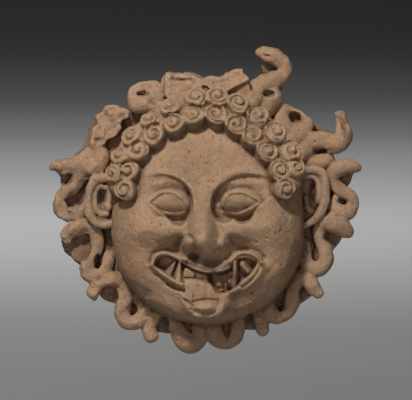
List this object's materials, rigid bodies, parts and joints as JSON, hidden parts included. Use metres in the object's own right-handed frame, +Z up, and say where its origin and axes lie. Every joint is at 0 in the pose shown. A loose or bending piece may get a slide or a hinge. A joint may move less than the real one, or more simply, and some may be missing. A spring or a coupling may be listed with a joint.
{
  "type": "gorgon-face antefix",
  "caption": "Round terracotta roof-edge ornament: a grinning gorgon's face with curls, tongue and snakes on a flat-backed plate, built in over the end of a cover tile.",
  "frame": {"origin": "middle of the flat back, where the clay joined the end of its cover tile", "axes": "+Z up, the face looks along -Y, +Y is the back's outward normal, +X is to the right as seen from the front"},
  "size_m": [0.2489, 0.0805, 0.2451],
  "materials": {
    "fired_clay": "matt, pitted, worn unglazed terracotta"
  },
  "bodies": {
    "root": {"antefix": "fired_clay"}
  },
  "joints": []
}
